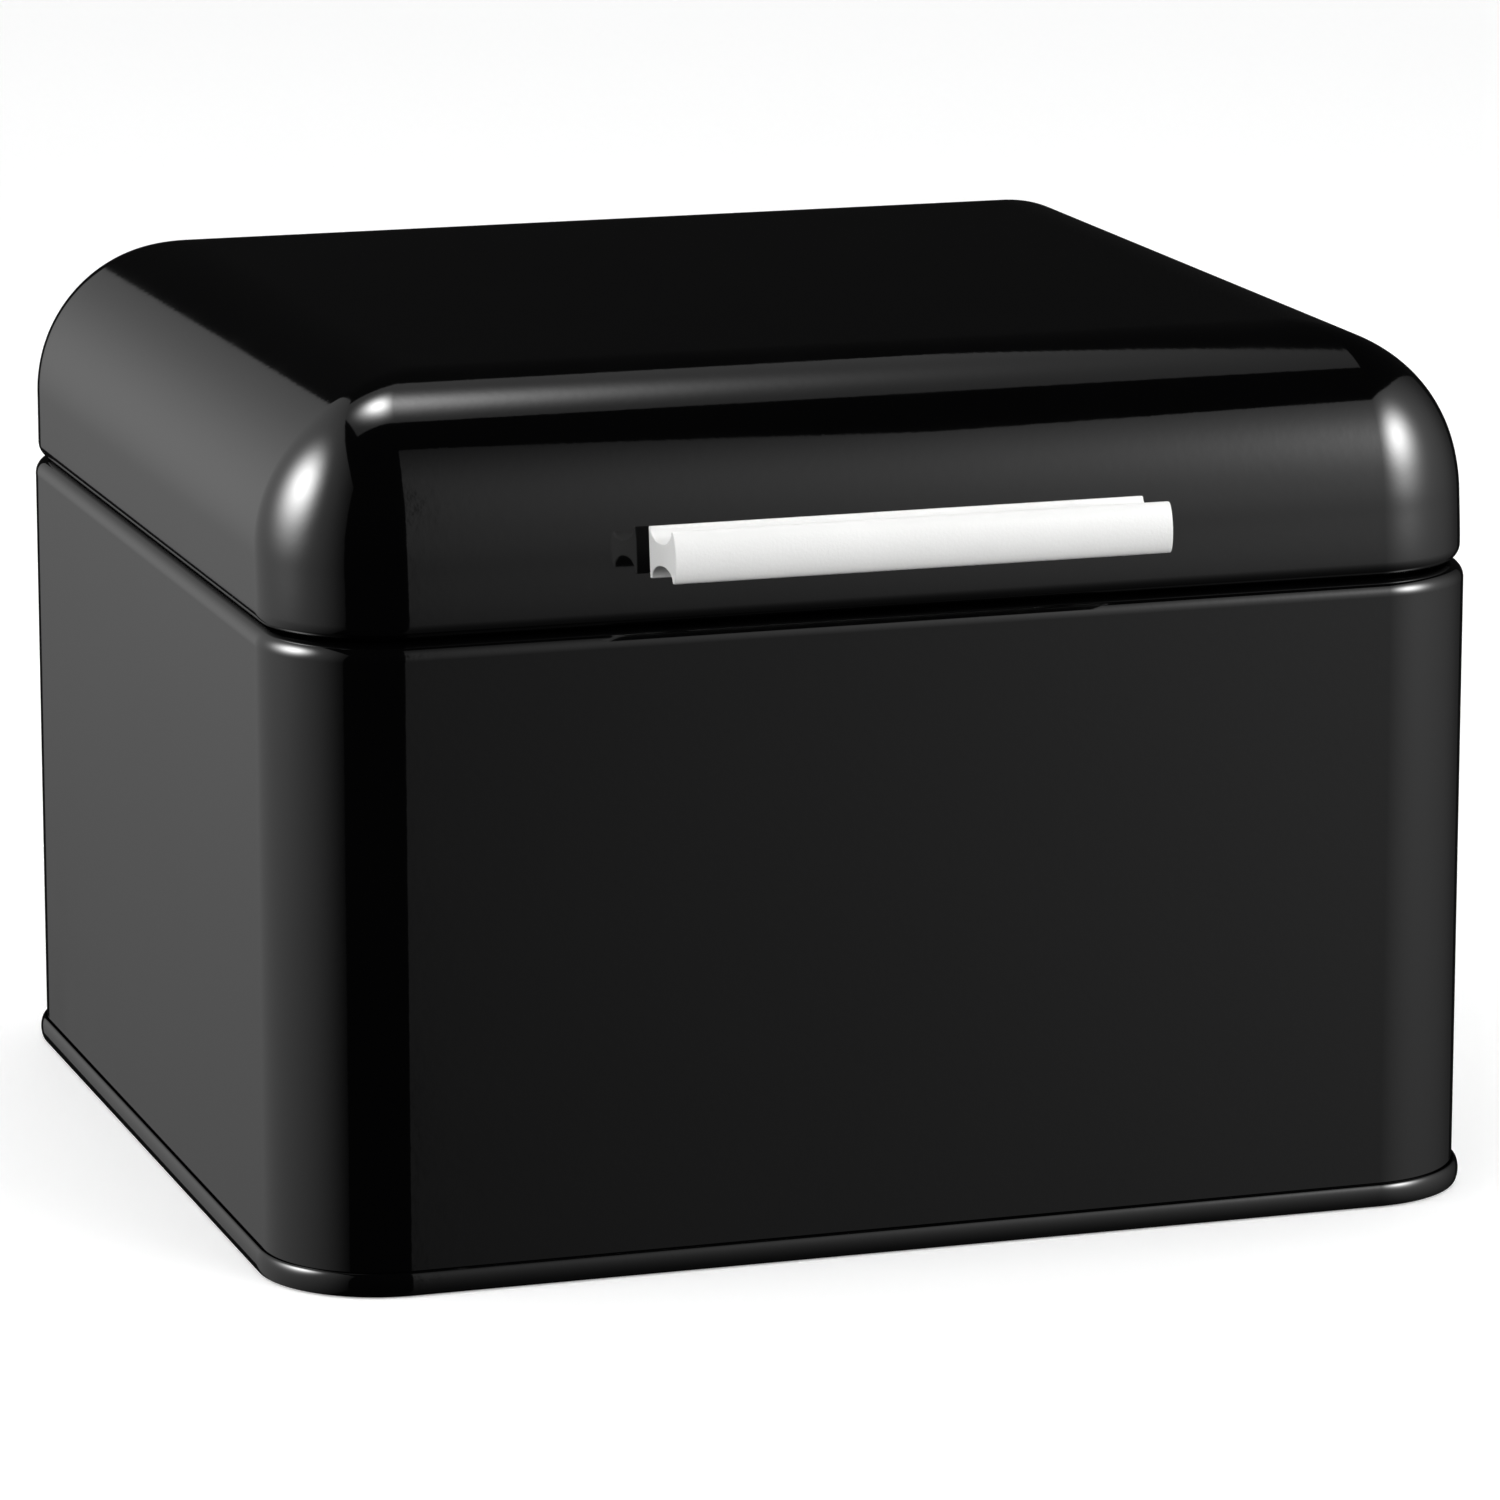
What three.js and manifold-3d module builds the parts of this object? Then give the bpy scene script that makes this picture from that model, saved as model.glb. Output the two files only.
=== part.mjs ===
// Hinged sheet steel storage box with a bar handle on the lid's front.
// Millimetres, +Z up, the handle faces -Y. Every sub-part is one closed solid in a mesh of its own.
import * as THREE from 'three';
import { mergeVertices } from 'three/addons/utils/BufferGeometryUtils.js';
import Module from 'manifold-3d';

const wasm = await Module();
wasm.setup();

// ---------------------------------------------------------------- driving dimensions

const WIDTH = 300;                // outside of the body wall, along X
const DEPTH = 280;                // outside of the body wall, along Y
const HEIGHT = 212.2;             // floor to the top of the lid
const SEAM_Z = 155;               // where the lid meets the body
const CORNER_RADIUS = 28.5;       // upright corners
const SHEET = 0.7;                // steel sheet thickness
const GAP = 0.3;                  // clearance between pieces that touch
const CURL_RADIUS = 4;            // inward curl of the body's and the lid's edges
const FLANGE_INSET = 8.6;         // how far the curled edges reach inwards

const LID_INSET = 0.6;            // the lid is this much smaller than the body, each side
const LID_EDGE_ACROSS = 41;       // round top edge, measured across
const LID_EDGE_UP = 40;           // round top edge, measured up
const LID_CORNER_SOFTNESS = 12;   // keeps the plan corners round where the top edge eats them up
const DRAW_IN = 1.5;              // the lid's front leans in by this much, where it is deepest
const DRAW_IN_FROM = 158;
const DRAW_IN_DEEPEST = 180;
const DRAW_IN_TO = 208;

const BEAD_HEIGHT = 6;
const BEAD_PROUD = 1.6;
const FLOOR_Z = 2.2;              // underside of the base pan
const PANEL_RISE = 1;             // the pan's raised middle panel
const COLLAR_RISE = 6;            // how far the collar stands above the seam

const HANDLE_LENGTH = 121;
const HANDLE_HEIGHT = 12.0;
const HANDLE_DEPTH = 18.1;        // rear face to the front tips
const HANDLE_CROWN = 2.3;         // bulge of the front face beyond the tips
const HANDLE_STANDOFF = 5.15;
const HANDLE_Z = 173.2;           // where the handle's axis leaves the lid
const HANDLE_X = -3.8;            // it sits a little left of the middle
const HANDLE_TILT = 6;            // degrees that the bar points up
const SCOOP_DEPTH = 3.4;          // grooves along the top and the underside
const REAR_FLANGE = 1.2;
const FRONT_TIP = 0.7;
const SCREW_SPACING = 96;
const SCREW_RADIUS = 1.5;
const SCREW_REACH = 8;            // length of screw inside the bar

const HINGE_SPACING = 170;
const HINGE_WIDTH = 32;
const LEAF_THICKNESS = 1.2;
const LEAF_DROP = 22;             // body leaf, below the pin
const LEAF_RISE = 13.5;           // lid leaf, above the pin
const PIN_RADIUS = 1.2;
const KNUCKLE_RADIUS = 2.9;
const KNUCKLE_HALF_WIDTH = 5.1;   // lid leaf's middle knuckle
const PIN_BEHIND_WALL = 3.2;
const STOP_LENGTH = 7;            // stop tab, from the pin's axis
const OPEN_ANGLE = 100;
const RIVET_RADIUS = 1.5;
const RIVET_OFFSET_X = 9.5;
const BODY_RIVET_Z = -13.5;       // from the pin's axis
const LID_RIVET_Z = 8.8;

const CORNER_STEPS = 7;
const ROUND_STEPS = 12;

// ---------------------------------------------------------------- materials

function material(color, roughness, metalness) {
  return new THREE.MeshStandardMaterial({ color, roughness, metalness });
}

const blackEnamel = material(0x0a0a0b, 0.1, 0);
const whitePaint = material(0xf0f0ee, 0.4, 0);
const steel = material(0xb8babd, 0.3, 1);
const blackSteel = material(0x141415, 0.35, 0.4);
const nylon = material(0xe6e6e2, 0.5, 0);

// ---------------------------------------------------------------- solids and booleans

function toManifold(geometry) {
  const bare = geometry.clone();
  bare.deleteAttribute('normal');
  bare.deleteAttribute('uv');
  const merged = mergeVertices(bare, 1e-4);
  const vertProperties = new Float32Array(merged.attributes.position.array);
  const triVerts = new Uint32Array(merged.index.array);
  return new wasm.Manifold(new wasm.Mesh({ numProp: 3, vertProperties, triVerts }));
}

function toGeometry(manifold) {
  const mesh = manifold.getMesh();
  const geometry = new THREE.BufferGeometry();
  geometry.setAttribute('position', new THREE.BufferAttribute(mesh.vertProperties, 3));
  geometry.setIndex(new THREE.BufferAttribute(mesh.triVerts, 1));
  geometry.computeVertexNormals();
  return geometry;
}

function join(geometries) {
  return toGeometry(geometries.map(toManifold).reduce((sum, piece) => sum.add(piece)));
}

function cut(geometry, tools) {
  return toGeometry(tools.map(toManifold).reduce((rest, tool) => rest.subtract(tool), toManifold(geometry)));
}

function box(from, to) {
  const size = to.map((value, i) => value - from[i]);
  const middle = to.map((value, i) => (value + from[i]) / 2);
  return new THREE.BoxGeometry(...size).translate(...middle);
}

// A rod along Y, as a tool for cutting holes.
function drill(radius, length, x, y, z) {
  return new THREE.CylinderGeometry(radius, radius, length, ROUND_STEPS).translate(x, y, z);
}

// Extrudes an outline drawn in (y, z) along X, from x0 to x1.
function extrudeAlongX(shape, x0, x1) {
  const geometry = new THREE.ExtrudeGeometry(shape, { depth: x1 - x0, bevelEnabled: false });
  const axes = new THREE.Matrix4().makeBasis(
    new THREE.Vector3(0, 1, 0),
    new THREE.Vector3(0, 0, 1),
    new THREE.Vector3(1, 0, 0),
  );
  return geometry.applyMatrix4(axes).translate(x0, 0, 0);
}

// A turned piece round the Y axis, from [radius, y] pairs.
function turned(profile) {
  const points = profile.map(([radius, y]) => new THREE.Vector2(radius, y));
  return new THREE.LatheGeometry(points, ROUND_STEPS);
}

// ---------------------------------------------------------------- sheet shells

// Points of an elliptical arc in (inset, z), from one angle to another, in degrees.
function arc(inset, z, across, up, from, to, steps) {
  const points = [];
  for (let i = 0; i <= steps; i++) {
    const angle = THREE.MathUtils.degToRad(from + (to - from) * i / steps);
    points.push([inset + across * Math.cos(angle), z + up * Math.sin(angle)]);
  }
  return points;
}

// How far the lid's front is drawn in at a height, as a smooth hump.
function drawIn(z) {
  const rising = THREE.MathUtils.smoothstep(z, DRAW_IN_FROM, DRAW_IN_DEEPEST);
  const falling = THREE.MathUtils.smoothstep(z, DRAW_IN_DEEPEST, DRAW_IN_TO);
  return DRAW_IN * (rising - falling);
}

// One rounded rectangle round the box, counter-clockwise seen from above.
function ring(inset, z, radius, frontIn) {
  const centreX = WIDTH / 2 - inset - radius;
  const centreY = DEPTH / 2 - inset - radius;
  const signs = [[1, 1], [-1, 1], [-1, -1], [1, -1]];
  const points = [];
  signs.forEach(([signX, signY], quarter) => {
    const shift = signY < 0 ? frontIn : 0;
    for (let i = 0; i <= CORNER_STEPS; i++) {
      const angle = (quarter + i / CORNER_STEPS) * Math.PI / 2;
      points.push([
        signX * centreX + radius * Math.cos(angle),
        signY * centreY + radius * Math.sin(angle) + shift,
        z,
      ]);
    }
  });
  return points;
}

// Plan corner radius at an inset: follows the offset curve, but never quite reaches zero.
function cornerRadius(inset) {
  const rest = CORNER_RADIUS - inset;
  return (rest + Math.hypot(rest, LID_CORNER_SOFTNESS)) / 2;
}

// Sweeps a profile of [inset, z] pairs round the box. The profile runs up on the outside and down on
// the inside. A closed profile makes a hoop, an open one is capped at both ends.
function sweptSheet(profile, { closed, radiusAt, frontInAt = () => 0 }) {
  const rings = profile.map(([inset, z]) => ring(inset, z, radiusAt(inset), frontInAt(z)));
  const count = rings[0].length;
  const index = [];
  const spans = closed ? rings.length : rings.length - 1;
  for (let r = 0; r < spans; r++) {
    const low = r * count;
    const high = ((r + 1) % rings.length) * count;
    for (let i = 0; i < count; i++) {
      const next = (i + 1) % count;
      index.push(low + i, low + next, high + next);
      index.push(low + i, high + next, high + i);
    }
  }
  if (!closed) {
    const last = (rings.length - 1) * count;
    for (let i = 1; i < count - 1; i++) {
      index.push(0, i + 1, i);
      index.push(last, last + i, last + i + 1);
    }
  }
  const geometry = new THREE.BufferGeometry();
  geometry.setAttribute('position', new THREE.Float32BufferAttribute(rings.flat(2), 3));
  geometry.setIndex(index);
  geometry.computeVertexNormals();
  return geometry;
}

const offsetCorner = (inset) => CORNER_RADIUS - inset;

// Wall of the body: straight sheet with its top edge curled inwards to a flat flange.
function bodyWall() {
  const top = SEAM_Z - GAP / 2;
  const inner = CURL_RADIUS - SHEET;
  const foot = SHEET + 2 * GAP;
  const profile = [
    [0, foot],
    ...arc(CURL_RADIUS, top - CURL_RADIUS, CURL_RADIUS, CURL_RADIUS, 180, 90, 5),
    [FLANGE_INSET, top],
    [FLANGE_INSET, top - SHEET],
    ...arc(CURL_RADIUS, top - CURL_RADIUS, inner, inner, 90, 180, 5),
    [SHEET, foot],
  ];
  return sweptSheet(profile, { closed: true, radiusAt: offsetCorner });
}

// Base pan: raised middle panel, and an edge rolled up round the foot of the wall.
function basePan() {
  const floorTop = FLOOR_Z + SHEET;
  const panelInset = 18;
  const profile = [
    [panelInset + 3, FLOOR_Z + PANEL_RISE],
    [panelInset, FLOOR_Z],
    [3.6, FLOOR_Z],
    [2.5, 0.3],
    [2.1, 0],
    [0.3, 0],
    ...arc(-GAP, BEAD_HEIGHT / 2, BEAD_PROUD - GAP, BEAD_HEIGHT / 2, 240, 95, 7),
    [-GAP, BEAD_HEIGHT - 0.3],
    [-GAP, SHEET + GAP],
    [SHEET + GAP, SHEET + GAP],
    [SHEET + GAP, floorTop],
    [panelInset - 0.4, floorTop],
    [panelInset + 2.6, floorTop + PANEL_RISE],
  ];
  return sweptSheet(profile, { closed: false, radiusAt: offsetCorner });
}

// Collar: an angle section ring under the body's flange, standing up inside the lid.
function collar() {
  const inset = FLANGE_INSET + GAP;
  const legTop = SEAM_Z - GAP / 2 - SHEET - GAP;
  const profile = [
    [FLANGE_INSET - 3.5, legTop - SHEET],
    [FLANGE_INSET - 3.5, legTop],
    [inset, legTop],
    [inset, SEAM_Z + COLLAR_RISE],
    [inset + SHEET, SEAM_Z + COLLAR_RISE],
    [inset + SHEET, legTop - SHEET],
  ];
  return sweptSheet(profile, { closed: true, radiusAt: offsetCorner });
}

// Lid: one pressing, from the curled lower edge over the round top edge to the flat top.
function lidPressing() {
  const bottom = SEAM_Z + GAP / 2;
  const innerCurl = CURL_RADIUS - SHEET;
  const curlInset = LID_INSET + CURL_RADIUS;
  const curlZ = bottom + CURL_RADIUS;
  const tip = FLANGE_INSET - 0.4;
  const edgeInset = LID_INSET + LID_EDGE_ACROSS;
  const edgeZ = HEIGHT - LID_EDGE_UP;
  const wallMiddle = (curlZ + edgeZ) / 2;
  const profile = [
    ...arc(edgeInset, edgeZ, LID_EDGE_ACROSS - SHEET, LID_EDGE_UP - SHEET, 90, 180, 8),
    [LID_INSET + SHEET, wallMiddle],
    ...arc(curlInset, curlZ, innerCurl, innerCurl, 180, 270, 5),
    [tip, bottom + SHEET],
    [tip, bottom],
    ...arc(curlInset, curlZ, CURL_RADIUS, CURL_RADIUS, 270, 180, 5),
    [LID_INSET, wallMiddle],
    ...arc(edgeInset, edgeZ, LID_EDGE_ACROSS, LID_EDGE_UP, 180, 90, 8),
  ];
  return sweptSheet(profile, { closed: false, radiusAt: cornerRadius, frontInAt: drawIn });
}

// ---------------------------------------------------------------- handle

// The handle's own origin is on the lid's outer surface, low on its round top edge.
const edgeAngle = Math.asin((HANDLE_Z - HEIGHT + LID_EDGE_UP) / LID_EDGE_UP);
const edgeSetback = LID_EDGE_ACROSS * (1 - Math.cos(edgeAngle));
const handleSetback = LID_INSET + edgeSetback + drawIn(HANDLE_Z);
const handleOrigin = new THREE.Vector3(HANDLE_X, handleSetback - DEPTH / 2, HANDLE_Z);
const handleTurn = new THREE.Matrix4()
  .makeRotationX(-THREE.MathUtils.degToRad(HANDLE_TILT))
  .setPosition(handleOrigin);
const screwXs = [-SCREW_SPACING / 2, SCREW_SPACING / 2];

// Section of the bar in (y, z): thin rear flange, a scoop above and below, crowned front face.
function handleSection() {
  const half = HANDLE_HEIGHT / 2;
  const rear = -HANDLE_STANDOFF;
  const front = rear - HANDLE_DEPTH;
  const scoopFrom = rear - REAR_FLANGE;
  const scoopTo = front + FRONT_TIP;
  const scoopMiddle = (scoopFrom + scoopTo) / 2;
  const scoopHalf = (scoopFrom - scoopTo) / 2;
  const shape = new THREE.Shape();
  shape.moveTo(rear, -half);
  shape.lineTo(rear, half);
  shape.lineTo(scoopFrom, half);
  shape.absellipse(scoopMiddle, half, scoopHalf, SCOOP_DEPTH, 0, Math.PI, true);
  shape.lineTo(front, half);
  shape.absellipse(front, 0, HANDLE_CROWN, half, Math.PI / 2, -Math.PI / 2, false);
  shape.lineTo(scoopTo, -half);
  shape.absellipse(scoopMiddle, -half, scoopHalf, SCOOP_DEPTH, Math.PI, 0, true);
  shape.lineTo(rear, -half);
  return shape;
}

function handleBar() {
  const shape = handleSection();
  const bar = extrudeAlongX(shape, -HANDLE_LENGTH / 2, HANDLE_LENGTH / 2);
  const holeEnd = -HANDLE_STANDOFF - SCREW_REACH - 1;
  const holes = screwXs.map((x) => drill(SCREW_RADIUS + GAP, -2 * holeEnd, x, 0, 0));
  return cut(bar, holes);
}

function handleSpacer() {
  const bore = SCREW_RADIUS + GAP;
  return turned([
    [bore, -GAP - 0.2],
    [bore, -HANDLE_STANDOFF + GAP],
    [4.5, -HANDLE_STANDOFF + GAP],
    [4.5, -GAP - 0.2],
    [bore, -GAP - 0.2],
  ]);
}

const WASHER_BACK = SHEET + GAP + 0.2;
const WASHER_THICKNESS = 0.8;
const HEAD_BACK = WASHER_BACK + WASHER_THICKNESS + GAP;

function handleWasher() {
  const bore = SCREW_RADIUS + GAP;
  return turned([
    [bore, WASHER_BACK],
    [4.5, WASHER_BACK],
    [4.5, WASHER_BACK + WASHER_THICKNESS],
    [bore, WASHER_BACK + WASHER_THICKNESS],
    [bore, WASHER_BACK],
  ]);
}

// Pan head screw with a cross recess, head inside the lid, shank through to the bar.
function handleScrew() {
  const head = 2.3;
  const screw = turned([
    [0, -HANDLE_STANDOFF - SCREW_REACH],
    [SCREW_RADIUS - 0.4, -HANDLE_STANDOFF - SCREW_REACH],
    [SCREW_RADIUS, -HANDLE_STANDOFF - SCREW_REACH + 1],
    [SCREW_RADIUS, HEAD_BACK],
    [3.4, HEAD_BACK],
    [3.4, HEAD_BACK + 0.9],
    [2.7, HEAD_BACK + 1.8],
    [1.5, HEAD_BACK + head],
    [0, HEAD_BACK + head],
  ]);
  const recessFrom = HEAD_BACK + head - 1.2;
  const recessTo = HEAD_BACK + head + 1;
  return cut(screw, [
    box([-1.6, recessFrom, -0.35], [1.6, recessTo, 0.35]),
    box([-0.35, recessFrom, -1.6], [0.35, recessTo, 1.6]),
  ]);
}

// ---------------------------------------------------------------- hinges
// Drawn round the pin's axis, which is the group's own X axis.

function knuckle(x0, x1) {
  const shape = new THREE.Shape();
  shape.absarc(0, 0, KNUCKLE_RADIUS, 0, 2 * Math.PI, false);
  const bore = new THREE.Path();
  bore.absarc(0, 0, PIN_RADIUS + GAP, 0, 2 * Math.PI, true);
  shape.holes.push(bore);
  return extrudeAlongX(shape, x0, x1);
}

const bodyLeafBack = -PIN_BEHIND_WALL + GAP;
const lidLeafBack = bodyLeafBack - LID_INSET;
const leafClear = KNUCKLE_RADIUS + 0.5;
const outerKnuckle = [KNUCKLE_HALF_WIDTH + 0.4, HINGE_WIDTH / 2];

function rivetHoles(leafBack, z) {
  const length = 4 * LEAF_THICKNESS;
  return [-RIVET_OFFSET_X, RIVET_OFFSET_X].map(
    (x) => drill(RIVET_RADIUS + GAP, length, x, leafBack, z),
  );
}

function bodyLeaf() {
  const front = bodyLeafBack + LEAF_THICKNESS;
  const half = HINGE_WIDTH / 2;
  const plate = box([-half, bodyLeafBack, -LEAF_DROP], [half, front, -leafClear]);
  const [near, far] = outerKnuckle;
  const arms = [[-far, -near], [near, far]].flatMap(([x0, x1]) => [
    box([x0, bodyLeafBack, -leafClear - 0.1], [x1, front, 0]),
    knuckle(x0, x1),
  ]);
  return cut(join([plate, ...arms]), rivetHoles(bodyLeafBack, BODY_RIVET_Z));
}

// The stop tab meets the body leaf's outer face when the lid is open.
function stopTab() {
  const lean = (-bodyLeafBack - 1.5 * LEAF_THICKNESS - GAP) / STOP_LENGTH;
  const openDirection = -90 - THREE.MathUtils.radToDeg(Math.asin(lean));
  const half = LEAF_THICKNESS / 2;
  const tab = box([-KNUCKLE_HALF_WIDTH, 2, -half], [KNUCKLE_HALF_WIDTH, STOP_LENGTH, half]);
  return tab.rotateX(THREE.MathUtils.degToRad(openDirection + OPEN_ANGLE));
}

function lidLeaf() {
  const front = lidLeafBack + LEAF_THICKNESS;
  const half = HINGE_WIDTH / 2;
  const middle = KNUCKLE_HALF_WIDTH;
  const pieces = [
    box([-half, lidLeafBack, leafClear], [half, front, LEAF_RISE]),
    box([-middle, lidLeafBack, 0], [middle, front, leafClear + 0.1]),
    knuckle(-middle, middle),
    stopTab(),
  ];
  return cut(join(pieces), rivetHoles(lidLeafBack, LID_RIVET_Z));
}

function hingePin() {
  const end = HINGE_WIDTH / 2 + GAP;
  const pin = turned([
    [0, -end - 1],
    [KNUCKLE_RADIUS - 0.9, -end - 1],
    [KNUCKLE_RADIUS - 0.7, -end],
    [PIN_RADIUS, -end],
    [PIN_RADIUS, end],
    [KNUCKLE_RADIUS - 0.7, end],
    [KNUCKLE_RADIUS - 0.9, end + 1],
    [0, end + 1],
  ]);
  return pin.rotateZ(Math.PI / 2);
}

// Rivet along Y: y = 0 is the outer face of the wall, the dome is outside the leaf.
function rivet() {
  const tail = -SHEET - GAP;
  const head = LEAF_THICKNESS + 2 * GAP;
  return turned([
    [0, tail - 0.9],
    [2.2, tail - 0.9],
    [2.4, tail],
    [RIVET_RADIUS, tail],
    [RIVET_RADIUS, head],
    [2.9, head],
    [2.6, head + 0.7],
    [1.7, head + 1.2],
    [0, head + 1.4],
  ]);
}

const hingeXs = [-HINGE_SPACING / 2, HINGE_SPACING / 2];
const rivetXs = hingeXs.flatMap((x) => [x - RIVET_OFFSET_X, x + RIVET_OFFSET_X]);

// Wall and lid with the holes that rivets and screws pass through.
function drilledBody() {
  const holes = rivetXs.map((x) => drill(RIVET_RADIUS + GAP, 6, x, DEPTH / 2, SEAM_Z + BODY_RIVET_Z));
  return cut(bodyWall(), holes);
}

function drilledLid() {
  const rivetHolesInLid = rivetXs.map(
    (x) => drill(RIVET_RADIUS + GAP, 6, x, DEPTH / 2 - LID_INSET, SEAM_Z + LID_RIVET_Z),
  );
  const screwHoles = screwXs.map((x) => drill(SCREW_RADIUS + GAP, 6, x, 0, 0).applyMatrix4(handleTurn));
  return cut(lidPressing(), [...rivetHolesInLid, ...screwHoles]);
}

// ---------------------------------------------------------------- assembly

function add(group, name, geometry, surface, position = [0, 0, 0]) {
  const mesh = new THREE.Mesh(geometry, surface);
  mesh.name = name;
  mesh.position.set(...position);
  group.add(mesh);
}

function addHandle(object) {
  const handle = new THREE.Group();
  handle.applyMatrix4(handleTurn);
  add(handle, 'handle_bar', handleBar(), whitePaint);
  ['left', 'right'].forEach((side, i) => {
    const place = [screwXs[i], 0, 0];
    add(handle, `handle_spacer_${side}`, handleSpacer(), nylon, place);
    add(handle, `handle_washer_${side}`, handleWasher(), steel, place);
    add(handle, `handle_screw_${side}`, handleScrew(), steel, place);
  });
  object.add(handle);
}

function addHinge(object, side, x) {
  const hinge = new THREE.Group();
  hinge.position.set(x, DEPTH / 2 + PIN_BEHIND_WALL, SEAM_Z);
  add(hinge, `hinge_${side}_body_leaf`, bodyLeaf(), blackSteel);
  add(hinge, `hinge_${side}_lid_leaf`, lidLeaf(), blackSteel);
  add(hinge, `hinge_${side}_pin`, hingePin(), steel);
  [-RIVET_OFFSET_X, RIVET_OFFSET_X].forEach((offset, i) => {
    const bodyPlace = [offset, -PIN_BEHIND_WALL, BODY_RIVET_Z];
    const lidPlace = [offset, -PIN_BEHIND_WALL - LID_INSET, LID_RIVET_Z];
    add(hinge, `hinge_${side}_body_rivet_${i + 1}`, rivet(), steel, bodyPlace);
    add(hinge, `hinge_${side}_lid_rivet_${i + 1}`, rivet(), steel, lidPlace);
  });
  object.add(hinge);
}

function build() {
  const object = new THREE.Group();
  add(object, 'body_wall', drilledBody(), blackEnamel);
  add(object, 'base_pan', basePan(), blackEnamel);
  add(object, 'body_collar', collar(), blackEnamel);
  add(object, 'lid_shell', drilledLid(), blackEnamel);
  addHandle(object);
  ['left', 'right'].forEach((side, i) => addHinge(object, side, hingeXs[i]));

  // The origin is the middle of the whole object's footprint, on the floor.
  object.updateMatrixWorld(true);
  const middle = new THREE.Box3().setFromObject(object, true).getCenter(new THREE.Vector3());
  object.position.set(-middle.x, -middle.y, 0);
  return object;
}

const group = build();

export default group;
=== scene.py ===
# Hinged storage tin with a bar handle: the looks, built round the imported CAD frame. Metres, +Z up.
import math

import bmesh
import bpy
from mathutils import Matrix, Vector


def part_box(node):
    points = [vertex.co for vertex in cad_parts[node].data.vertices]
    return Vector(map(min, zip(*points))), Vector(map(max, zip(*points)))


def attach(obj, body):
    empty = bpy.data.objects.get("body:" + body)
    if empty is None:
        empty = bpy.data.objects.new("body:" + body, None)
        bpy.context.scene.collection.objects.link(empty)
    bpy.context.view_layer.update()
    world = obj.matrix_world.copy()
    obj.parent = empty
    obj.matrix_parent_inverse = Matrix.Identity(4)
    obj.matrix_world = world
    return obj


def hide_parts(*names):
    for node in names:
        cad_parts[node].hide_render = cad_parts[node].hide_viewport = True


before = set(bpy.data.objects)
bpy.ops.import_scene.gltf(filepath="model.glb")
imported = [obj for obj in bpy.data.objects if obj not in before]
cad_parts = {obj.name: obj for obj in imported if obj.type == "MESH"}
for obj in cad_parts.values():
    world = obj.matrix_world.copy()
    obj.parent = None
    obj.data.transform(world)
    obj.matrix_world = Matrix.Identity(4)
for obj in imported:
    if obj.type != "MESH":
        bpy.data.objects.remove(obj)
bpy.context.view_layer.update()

MM = 0.001

# ------------------------------------------------------------------ driving sizes, from the frame

wall_low, wall_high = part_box("body_wall")
lid_low, lid_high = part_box("lid_shell")
pan_low, pan_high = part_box("base_pan")
collar_low, collar_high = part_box("body_collar")
WIDTH = wall_high[0] - wall_low[0]
DEPTH = wall_high[1] - wall_low[1]
CENTRE_Y = (wall_high[1] + wall_low[1]) / 2
LID_INSET = lid_low[0] - wall_low[0]
LID_TOP = lid_high[2]
BEAD_PROUD = wall_low[0] - pan_low[0]

SHEET = 0.7 * MM
GAP = 0.3 * MM
CORNER_RADIUS = 28.5 * MM
CURL_RADIUS = 4 * MM
FLANGE_INSET = 8.6 * MM
LID_EDGE_ACROSS = 41 * MM
LID_EDGE_UP = 40 * MM
LID_CORNER_SOFTNESS = 12 * MM
DRAW_IN = 1.5 * MM
DRAW_IN_FROM = 158 * MM
DRAW_IN_DEEPEST = 180 * MM
DRAW_IN_TO = 208 * MM
BEAD_HEIGHT = 6 * MM
FLOOR_Z = 2.2 * MM
PANEL_RISE = 1 * MM
PANEL_INSET = 18 * MM

HANDLE_TILT = math.radians(6)
HANDLE_HEIGHT = 12.0 * MM
HANDLE_DEPTH = 18.1 * MM
HANDLE_CROWN = 2.3 * MM
HANDLE_STANDOFF = 5.15 * MM
SCOOP_DEPTH = 3.4 * MM
REAR_FLANGE = 1.2 * MM
FRONT_TIP = 0.7 * MM

CORNER_STEPS = 28
TURN_STEPS = 48


# ------------------------------------------------------------------ mesh helpers

def new_object(name, bm):
    """Turns a bmesh into a smooth-shaded object."""
    bmesh.ops.remove_doubles(bm, verts=bm.verts, dist=1e-6)
    bmesh.ops.recalc_face_normals(bm, faces=bm.faces)
    mesh = bpy.data.meshes.new(name)
    bm.to_mesh(mesh)
    bm.free()
    mesh.shade_smooth()
    obj = bpy.data.objects.new(name, mesh)
    bpy.context.scene.collection.objects.link(obj)
    return obj


def crisp(obj, angle=32):
    """Keeps edges sharper than the angle crisp, and lets flat faces rule the shading of their rims."""
    obj.data.set_sharp_from_angle(angle=math.radians(angle))
    modifier = obj.modifiers.new("normals", "WEIGHTED_NORMAL")
    modifier.keep_sharp = True
    modifier.weight = 50


def arc(inset, z, across, up, start, end, steps):
    """Points of an elliptical arc in (inset, z), angles in degrees."""
    points = []
    for i in range(steps + 1):
        angle = math.radians(start + (end - start) * i / steps)
        points.append((inset + across * math.cos(angle), z + up * math.sin(angle)))
    return points


def smoothstep(value, start, end):
    t = min(max((value - start) / (end - start), 0), 1)
    return t * t * (3 - 2 * t)


def draw_in(z):
    """How far the lid's front is drawn in at a height."""
    rising = smoothstep(z, DRAW_IN_FROM, DRAW_IN_DEEPEST)
    falling = smoothstep(z, DRAW_IN_DEEPEST, DRAW_IN_TO)
    return DRAW_IN * (rising - falling)


def no_draw_in(z):
    return 0


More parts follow.
